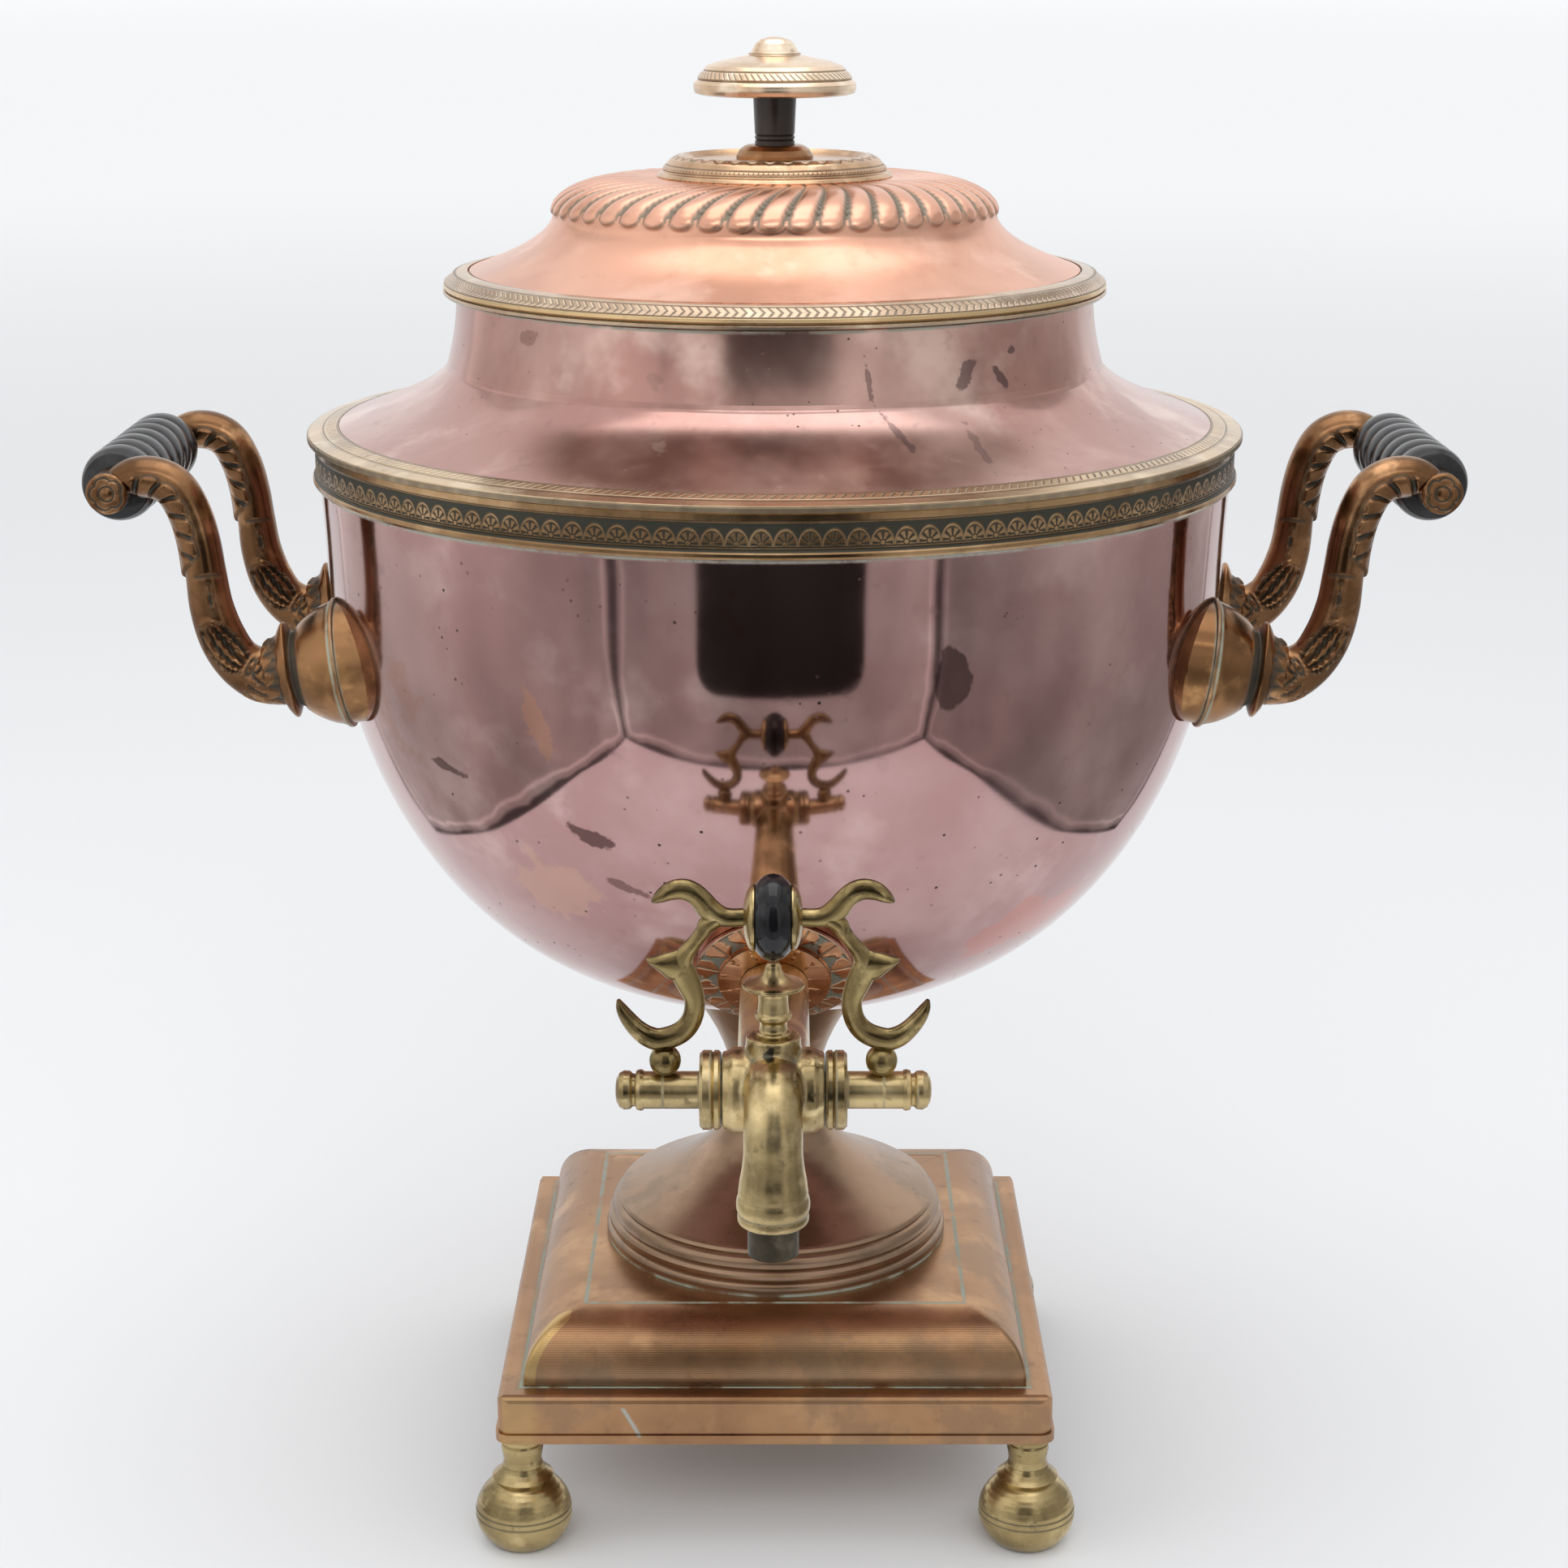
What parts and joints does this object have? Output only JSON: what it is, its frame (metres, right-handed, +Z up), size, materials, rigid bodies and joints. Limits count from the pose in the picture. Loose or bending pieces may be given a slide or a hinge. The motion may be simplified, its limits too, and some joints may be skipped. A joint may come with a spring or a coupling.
{
  "type": "tea urn",
  "caption": "Footed copper and brass tea urn with scroll handles, a lever-worked plug tap, a lift-off domed lid and an inner sleeve for a heating iron.",
  "frame": {"origin": "where the urn's vertical axis meets the surface that its four ball feet stand on", "axes": "+Z up along the urn's axis, -Y towards the tap, +X to the right-hand handle as seen from the tap"},
  "size_m": [0.388, 0.334, 0.4258],
  "materials": {
    "dark_copper": "aged, polished, dark reddish brown copper",
    "copper": "polished copper with light tarnish",
    "red_copper": "aged copper, reddish brown with worn bright edges",
    "brass": "aged brass with dark recesses",
    "old_brass": "tarnished brass",
    "bronze": "dark bronze-coloured cast brass",
    "ebony": "ebonised and waxed",
    "iron": "dark oxide"
  },
  "bodies": {
    "urn": {"bowl": "dark_copper", "shoulder": "copper", "neck": "copper", "heater_sleeve": "copper", "cup_fl": "copper", "cup_fr": "copper", "cup_bl": "copper", "cup_br": "copper", "pedestal": "red_copper", "plinth_panel": "red_copper", "plinth_ovolo": "red_copper", "plinth_slab": "red_copper", "base_plate": "red_copper", "rosette": "red_copper", "band": "brass", "flange": "brass", "foot_fl": "brass", "foot_fr": "brass", "foot_bl": "brass", "foot_br": "brass", "tap_body": "brass", "corner_blocks": "old_brass", "grip_rod_left": "old_brass", "grip_rod_right": "old_brass", "handle_studs": "old_brass", "handle_pads": "old_brass", "handle_nuts": "old_brass", "tap_finial": "old_brass", "tail_pad": "old_brass", "tail_nut": "old_brass", "rim": "bronze", "arm_fl": "bronze", "arm_fr": "bronze", "arm_bl": "bronze", "arm_br": "bronze", "grip_left": "ebony", "grip_right": "ebony", "centre_bolt": "iron", "centre_nut": "iron", "nozzle": "iron", "heating_iron": "iron"},
    "lid": {"lid": "copper", "lid_collar": "brass", "stem_washer": "bronze", "knob_stem": "ebony", "knob": "brass", "knob_rod": "iron", "knob_nut": "brass"},
    "sleeve_cover": {"sleeve_cover": "copper"},
    "tap_lever": {"plug": "brass", "plug_cap": "brass", "button_left": "brass", "button_right": "brass", "lyre_left": "brass", "lyre_right": "brass", "bead": "ebony", "ferrule_left": "brass", "ferrule_right": "brass", "bead_pin": "iron"}
  },
  "joints": [
    {"name": "tap_lever", "type": "hinge", "parent": "urn", "child": "tap_lever", "pos_m": [0, -0.17303, 0.1808], "axis": [1, 0, 0], "range_deg": [0, 90]},
    {"name": "lid_lift", "type": "slide", "parent": "urn", "child": "lid", "axis": [0, 0, 1], "range_m": [0, 0.2]},
    {"name": "sleeve_cover_lift", "type": "slide", "parent": "urn", "child": "sleeve_cover", "axis": [0, 0, 1], "range_m": [0, 0.025]}
  ]
}
